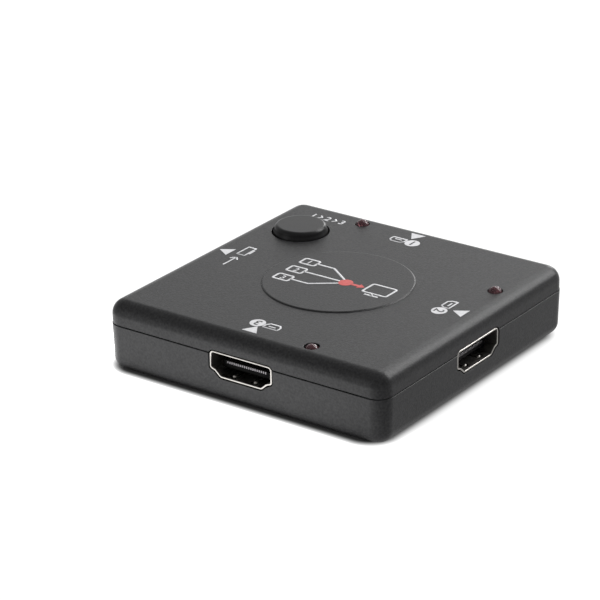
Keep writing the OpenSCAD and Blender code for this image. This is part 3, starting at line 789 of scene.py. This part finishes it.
for lamp in LAMP_TIPS:
    show(lamp + "_dome", smoothed(lamp), lamp_resin, "case", "lamp_lens", lamp)

stampings = [
    prism("stamping", outline, lambda a, b, w: Vector((a, w, b)) * MM, FRAME_T)
    for outline in (ANVIL, POST)
]
lamp_frame = add_object("lamp_frame", joined_shapes("lamp_frame", *stampings))
tips = [(x, y, LAMP_TIPS[lamp], turn) for lamp, (x, y, turn) in LAMP_AT.items()]
lamp_spots = spots("lamp_spots", tips)
frames = grown(PLACES, PLACE_INPUTS, {"Pattern": lamp_frame, "Finish": lamp_cup}, lamp_spots)
show("lamp_frames", frames, lamp_cup, "case", "lamp_cup")
bpy.data.objects.remove(lamp_frame)

# %% [markdown]
# ## Printed marks
# The marks are a film of ink, three hundredths of a millimetre thick. Each is a thin
# closed solid that sits in the surface, so it looks right at a low angle too. Flat
# shapes are prisms, copies go through the places tree, and lines go through a third
# tree: it fillets a path and sweeps a flat section along it.

# %% Tree for printed lines
INK = 0.03
INK_LIFT = 0.01
LINE_SOCKETS = {
    "Path": "NodeSocketGeometry",
    "Width": "NodeSocketFloat",
    "Bend": "NodeSocketFloat",
    "Thickness": "NodeSocketFloat",
    "Finish": "NodeSocketMaterial",
}


def line_tree():
    """A flat ribbon along the edges of the carrier mesh, with rounded bends."""
    tree, known = new_tree("printed_line", LINE_SOCKETS)
    given = tree.nodes.new("NodeGroupInput")
    section = tree.nodes.new("GeometryNodeCurvePrimitiveQuadrilateral")
    steps = chain(
        tree,
        "GeometryNodeMeshToCurve",
        "GeometryNodeFilletCurve",
        "GeometryNodeSetCurveNormal",
        "GeometryNodeCurveToMesh",
        "GeometryNodeRealizeInstances",
        "GeometryNodeSetMaterial",
        "NodeGroupOutput",
    )
    path, bend, upright, sweep, _, finish, _ = steps
    bend.mode = "POLY"
    bend.inputs["Count"].default_value = 6
    bend.inputs["Limit Radius"].default_value = True
    upright.mode = "Z_UP"
    sweep.inputs["Fill Caps"].default_value = True
    link = tree.links.new
    link(given.outputs["Path"], path.inputs["Mesh"])
    link(given.outputs["Bend"], bend.inputs["Radius"])
    link(given.outputs["Width"], section.inputs["Width"])
    link(given.outputs["Thickness"], section.inputs["Height"])
    link(section.outputs["Curve"], sweep.inputs["Profile Curve"])
    link(given.outputs["Finish"], finish.inputs["Material"])
    return tree, known


LINES, LINE_INPUTS = line_tree()


def lines(name, face, paths, width, bend, finish):
    """Ribbons of ink on a face; a path is a list of points and whether it is closed."""
    points, edges = [], []
    for path, closed in paths:
        first = len(points)
        points += [Vector((x, y, face + INK_LIFT)) * MM for x, y in path]
        edges += [(i, i + 1) for i in range(first, len(points) - 1)]
        if closed:
            edges.append((len(points) - 1, first))
    mesh = bpy.data.meshes.new(name)
    mesh.from_pydata(points, edges, [])
    values = {"Width": width * MM, "Bend": bend * MM, "Thickness": INK * MM, "Finish": finish}
    return grown(LINES, LINE_INPUTS, values, mesh)


print("tree:", LINES.name)

# %% [markdown]
# Beside each socket an arrow shows which way the signal goes: in at the three inputs,
# out at the output. Each input has its number in a white dot.

# %% Arrows and numbers
ARROW = [(-1.75, -1.4), (1.75, -1.4), (0, 1.4)]
ARROWS = [(-0.35, 28.23, 180), (27.99, 0.68, 90), (-0.4, -27.92, 0), (-28.48, 0.52, 90)]
DOT_R = 1.6
DOT_DIGIT_H, DOT_DIGIT_BOLD = 2.1, 0.02
DOTS = {"1": (1.1, 24.96, 0), "2": (24.36, -0.81, -90), "3": (-1.39, -25.12, 180)}


def flat(outline, face):
    """A flat shape of ink on a face."""
    return prism("ink", outline, lambda a, b, w: Vector((a, b, face + INK_LIFT + w)) * MM, INK)


def circle(radius, x=0, steps=40):
    """The outline of a round mark whose middle is at x on the middle line."""
    angles = (2 * math.pi * i / steps for i in range(steps))
    return [(x + radius * math.cos(a), radius * math.sin(a)) for a in angles]


def repeated(name, outline, places):
    """The same flat mark in white ink at several places on the top face."""
    pattern = add_object("mark_pattern", flat(outline, 0))
    carrier = spots(name, [(x, y, TOP_FACE, turn) for x, y, turn in places])
    marks = grown(PLACES, PLACE_INPUTS, {"Pattern": pattern, "Finish": mark_white}, carrier)
    bpy.data.objects.remove(pattern)
    return show(name, marks, mark_white, "case", "mark_white")


def digit(sign, height, bold, x, y, face, turn=0):
    """A number from the built-in typeface, as a mesh of that height, set in place."""
    letter = bpy.data.curves.new("digit", "FONT")
    letter.body = sign
    letter.extrude = 0.5
    letter.offset = bold
    carrier = add_object("digit", letter)
    bpy.context.view_layer.update()
    graph = bpy.context.evaluated_depsgraph_get()
    mesh = bpy.data.meshes.new_from_object(carrier.evaluated_get(graph))
    bpy.data.objects.remove(carrier)
    low = Vector(min(v.co[i] for v in mesh.vertices) for i in range(3))
    high = Vector(max(v.co[i] for v in mesh.vertices) for i in range(3))
    size = height / (high.y - low.y)
    mesh.transform(Matrix.Translation(-(low + high) / 2))
    mesh.transform(Matrix.Diagonal((size * MM, size * MM, INK * MM, 1)))
    mesh.transform(Matrix.Rotation(math.radians(turn), 4, "Z"))
    mesh.transform(Matrix.Translation(Vector((x, y, face + INK_LIFT)) * MM))
    return mesh


repeated("signal_arrows", ARROW, ARROWS)
repeated("number_dots", circle(DOT_R), DOTS.values())
numbers = [
    digit(sign, DOT_DIGIT_H, DOT_DIGIT_BOLD, x, y, TOP_FACE + INK / 2, turn)
    for sign, (x, y, turn) in DOTS.items()
]
show("dot_numbers", joined_shapes("dot_numbers", *numbers), mark_black, "case", "case_plastic")

# %% [markdown]
# Small signs take the other printed places: the outline of a socket beside each
# number, an arrow to a screen at the output, and the order of the inputs at the
# button.

# %% Signs
SIGN_LINE, SIGN_BEND = 0.36, 0.12
SOCKET_SIGN = [
    ([(-1.7, 1.0), (1.7, 1.0), (1.7, -0.25), (1.1, -1.0), (-1.1, -1.0), (-1.7, -0.25)], True),
    ([(-0.8, 0.2), (0.8, 0.2)], False),
]
SOCKET_SIGNS = [(-2.45, 24.96, 0), (24.36, 2.74, -90), (2.16, -25.12, 180)]
SCREEN_SIGN = [
    ([(-5.2, 0), (-0.6, 0)], False),
    ([(-1.7, 0.9), (-0.6, 0), (-1.7, -0.9)], False),
    ([(0.9, 1.1), (5.1, 1.1), (5.1, -0.8), (0.9, -0.8)], True),
    ([(2.0, -1.15), (4.0, -1.15)], False),
]
SCREEN_AT = (-24.5, -0.35, 90)
CHEVRON = [([(-0.4, 0.7), (0.4, 0), (-0.4, -0.7)], False)]
ORDER_Y, ORDER_H, ORDER_BOLD = 26.4, 2.0, 0.012
ORDER = {"1": -24.6, "2": -21.0, "3": -17.4}
CHEVRONS = [(-22.8, ORDER_Y, 0), (-19.2, ORDER_Y, 0)]


def set_at(sign, x, y, turn):
    """The paths of a sign, turned and moved to their place."""
    c, s = math.cos(math.radians(turn)), math.sin(math.radians(turn))
    return [
        ([(x + u * c - v * s, y + u * s + v * c) for u, v in path], closed)
        for path, closed in sign
    ]


signs = [path for place in SOCKET_SIGNS for path in set_at(SOCKET_SIGN, *place)]
signs += set_at(SCREEN_SIGN, *SCREEN_AT)
signs += [path for place in CHEVRONS for path in set_at(CHEVRON, *place)]
sign_ink = lines("sign_lines", TOP_FACE, signs, SIGN_LINE, SIGN_BEND, mark_white)
show("sign_lines", sign_ink, mark_white, "case", "mark_white")
order = [digit(sign, ORDER_H, ORDER_BOLD, x, ORDER_Y, TOP_FACE) for sign, x in ORDER.items()]
show("order_digits", joined_shapes("order_digits", *order), mark_white, "case", "mark_white")

# %% [markdown]
# The raised disc carries a plain diagram of what the box does: three sources on the
# left meet in a red hub, and a red arrow leads from it to the screen on the right.

# %% Diagram on the disc
SOURCE_X, SOURCE_Y, SOURCE_W, SOURCE_H = -10.2, 4.6, 3.6, 2.6
SOURCE_DIGIT_H, SOURCE_DIGIT_BOLD = 1.6, 0.01
KNEE_X = -4.2
HUB_X, HUB_R = 1.8, 1.5
SHAFT_START, SHAFT_HALF = HUB_X + HUB_R - 0.1, 0.4
POINT_START, POINT_END, POINT_HALF = 4.9, 6.3, 1
SCREEN_X, SCREEN_Y, SCREEN_W, SCREEN_H = 9.6, 0.4, 5.6, 4.2
STAND_Y, STAND_HALF = -2.7, 1.6
DIAGRAM_LINE, DIAGRAM_BEND = 0.5, 0.45
slant = HUB_R * math.sqrt(0.5)


def box(x, y, w, h):
    """The corners of a rectangle round its middle."""
    return [(x + i * w / 2, y + j * h / 2) for i, j in ((-1, 1), (1, 1), (1, -1), (-1, -1))]


source_rows = (SOURCE_Y, 0, -SOURCE_Y)
line_start = SOURCE_X + SOURCE_W / 2
white_paths = [(box(SOURCE_X, y, SOURCE_W, SOURCE_H), True) for y in source_rows]
for side in (-1, 1):
    knee = [(line_start, side * SOURCE_Y), (KNEE_X, side * SOURCE_Y)]
    white_paths.append(([*knee, (HUB_X - slant, side * slant)], False))
white_paths += [
    ([(line_start, 0), (HUB_X - HUB_R, 0)], False),
    (box(SCREEN_X, SCREEN_Y, SCREEN_W, SCREEN_H), True),
    ([(SCREEN_X, SCREEN_Y - SCREEN_H / 2), (SCREEN_X, STAND_Y)], False),
    ([(SCREEN_X - STAND_HALF, STAND_Y), (SCREEN_X + STAND_HALF, STAND_Y)], False),
]
white = lines("diagram_lines", DISC_TOP, white_paths, DIAGRAM_LINE, DIAGRAM_BEND, mark_white)
show("diagram_lines", white, mark_white, "case", "mark_white")
sources = [
    digit(sign, SOURCE_DIGIT_H, SOURCE_DIGIT_BOLD, SOURCE_X, y, DISC_TOP)
    for sign, y in zip("123", source_rows)
]
show("diagram_digits", joined_shapes("diagram_digits", *sources), mark_white, "case", "mark_white")

red_arrow = [
    (SHAFT_START, SHAFT_HALF),
    (SHAFT_START, -SHAFT_HALF),
    (POINT_START, -SHAFT_HALF),
    (POINT_START, -POINT_HALF),
    (POINT_END, 0),
    (POINT_START, POINT_HALF),
    (POINT_START, SHAFT_HALF),
]
red = [flat(outline, DISC_TOP) for outline in (circle(HUB_R, HUB_X), red_arrow)]
show("diagram_hub", joined_shapes("diagram_hub", *red), mark_red, "case", "mark_red")

# %% [markdown]
# ## Floor and light
# The photo has a white ground with hardly any shadow: a sheet of white paper in a
# light room. In front of the left wall the paper is brighter still, as if a lamp
# stood close to it, so that wall mirrors more light than the right one. Here the
# paper glows a little itself: the glow is painted light that stands for light that
# falls on the paper. It is a painted pool of light, strongest at that spot, and it
# fades out under the box into a painted shadow, where no light arrives.

# %% Floor
FLOOR_SIDE, FLOOR_DROP = 6.0, 0.1 * MM
EVEN_GLOW = 0.88
# The SPOT values set a painted pool of light on the paper in front of the left wall.
SPOT_GLOW = 3.85
SPOT_AT = Vector((-14, -47, 0)) * MM
SPOT_LONG, SPOT_FULL, SPOT_END = 0.7, 20 * MM, 45 * MM
# The SHADE values set the painted shadow under the box and round its foot, a little off its
# middle.
SHADE_AT = Vector((-1.3, 0, 0)) * MM
SHADE_CORNER = 6 * MM
SHADE_MIDDLE = BODY / 2 * MM - SHADE_CORNER
SHADE_IN, SHADE_OUT = SHADE_CORNER - 1.2 * MM, SHADE_CORNER + 2 * MM
SPOT_OUT = SHADE_CORNER + 6 * MM

floor_white = new_finish(
    "floor_white", (0.1, 0.1, 0.1), 0.6, Specular_IOR_Level=0.1, Emission_Color=(1, 1, 1, 1)
)
mottle(floor_white, (0.095, 0.095, 0.095), (0.105, 0.105, 0.105), 3)


def ramp_between(material, value, start, end, first, last):
    """A soft step from the first value at start to the last one at end."""
    step = material.node_tree.nodes.new("ShaderNodeMapRange")
    step.interpolation_type = "SMOOTHSTEP"
    ends = {"From Min": start, "From Max": end, "To Min": first, "To Max": last}
    for label, number in ends.items():
        step.inputs[label].default_value = number
    material.node_tree.links.new(value, step.inputs["Value"])
    return step.outputs["Result"]


def vector_step(material, operation, first, second=None):
    """One step of arithmetic on a vector in the material; the second value is a constant."""
    step = material.node_tree.nodes.new("ShaderNodeVectorMath")
    step.operation = operation
    material.node_tree.links.new(first, step.inputs[0])
    if second is not None:
        step.inputs[1].default_value = second
    return next(socket for socket in step.outputs if socket.enabled)


def glow(material):
    """Makes the paper shine with painted light, more near one long spot, none under the box: a
    painted shadow.
    """
    nodes, links = material.node_tree.nodes, material.node_tree.links
    place = nodes.new("ShaderNodeTexCoord").outputs["Object"]
    along = Vector((SPOT_LONG, 1, 1))
    drawn_out = vector_step(material, "MULTIPLY", place, along)
    from_spot = vector_step(material, "DISTANCE", drawn_out, SPOT_AT * along)
    spot = ramp_between(material, from_spot, SPOT_FULL, SPOT_END, SPOT_GLOW, 0)
    moved = vector_step(material, "SUBTRACT", place, SHADE_AT)
    from_middle = vector_step(material, "ABSOLUTE", moved)
    past = vector_step(material, "SUBTRACT", from_middle, (SHADE_MIDDLE, SHADE_MIDDLE, 1))
    from_box = vector_step(material, "LENGTH", vector_step(material, "MAXIMUM", past, (0, 0, 0)))
    even = ramp_between(material, from_box, SHADE_IN, SHADE_OUT, 0, EVEN_GLOW)
    spot_shade = ramp_between(material, from_box, SHADE_IN, SPOT_OUT, 0, 1)
    both = nodes.new("ShaderNodeMath")
    both.operation = "MULTIPLY_ADD"
    links.new(spot, both.inputs[0])
    links.new(spot_shade, both.inputs[1])
    links.new(even, both.inputs[2])
    links.new(both.outputs["Value"], nodes["Principled BSDF"].inputs["Emission Strength"])


glow(floor_white)
floor_mesh = bpy.data.meshes.new("floor")
half = FLOOR_SIDE / 2
sheet = [(-half, -half, 0), (half, -half, 0), (half, half, 0), (-half, half, 0)]
floor_mesh.from_pydata(sheet, [], [(0, 1, 2, 3)])
floor_mesh.materials.append(floor_white)
floor = add_object("floor", floor_mesh)
floor.location.z = -FLOOR_DROP
print("floor glow:", EVEN_GLOW, "and", SPOT_GLOW, "more at the spot")

# %% [markdown]
# Black plastic shows little colour of its own. What the eye reads on it are mirrored
# lights, and each face mirrors another place. The softbox behind the box is what the
# top face shows. The leaning strip further to the right draws the light band along
# the right top edge, and the high one closes that band towards the top. The strip is
# short and stands high: a longer one reaches lower, lights more of that edge, and
# burns out the top face in low views from the left, where the face mirrors it. A weak
# light in front lifts the foot of the front top edge, which otherwise mirrors the dim
# room.
# The small low one draws the bright line at the right of the disc, and small gleams
# on the button, the lamps and the far right corner.

# %% Softboxes and room
def softbox(name, azimuth, elevation, size, brightness, lean=0):
    """A light that faces the box; its brightness is what a mirror would show."""
    place = LIGHT_AWAY * direction(math.radians(azimuth), math.radians(elevation))
    data = bpy.data.lights.new(name, "AREA")
    data.shape = "RECTANGLE"
    data.size, data.size_y = size
    data.energy = brightness * math.pi * size[0] * size[1]
    made = add_object(name, data)
    made.location = place
    facing = (-place).to_track_quat("-Z", "Y").to_matrix()
    made.rotation_euler = (facing @ Matrix.Rotation(math.radians(lean), 3, "Z")).to_euler()
    return made


LIGHT_AWAY = 1.2
softbox("light_back", 212, 16, (0.95, 0.62), 0.82)
softbox("light_strip", 156, 36, (0.45, 0.72), 17.3, lean=-37)
softbox("light_high", 196, 46, (0.55, 0.5), 6.2)
softbox("light_front", 330, 10, (0.5, 0.4), 2.4)
softbox("light_low", 194, 11, (0.3, 0.3), 8.0)

ROOM_GLOW = 0.8
room = bpy.data.worlds.new("room")
room.use_nodes = True
room.node_tree.nodes["Background"].inputs["Color"].default_value = (1, 1, 1, 1)
room.node_tree.nodes["Background"].inputs["Strength"].default_value = ROOM_GLOW
scene.world = room

# %% [markdown]
# ## Finishes of the carried-over nodes
# The board, its parts and the insulators of the sockets keep their CAD solids, because
# their shapes are right already. Each node's material slot in the record names the
# finish that it gets here.

# %% Carried-over nodes
SLOT_FINISH = {
    "case_plastic": case_plastic,
    "button_plastic": button_plastic,
    "screw_steel": screw_steel,
    "shell_nickel": shell_nickel,
    "socket_plastic": socket_plastic,
    "contact_metal": contact_metal,
    "lamp_lens": lamp_resin,
    "board_laminate": board_laminate,
    "tinned_metal": tinned_metal,
    "switch_plastic": switch_plastic,
    "spring_steel": spring_steel,
    "chip_resin": chip_resin,
    "capacitor_ceramic": capacitor_ceramic,
    "resistor_ceramic": resistor_ceramic,
}
for part in frame["record"]["subparts"]:
    mesh = frame["nodes"][part["node"]].data
    mesh.materials.clear()
    mesh.materials.append(SLOT_FINISH[part["material_slot"]])
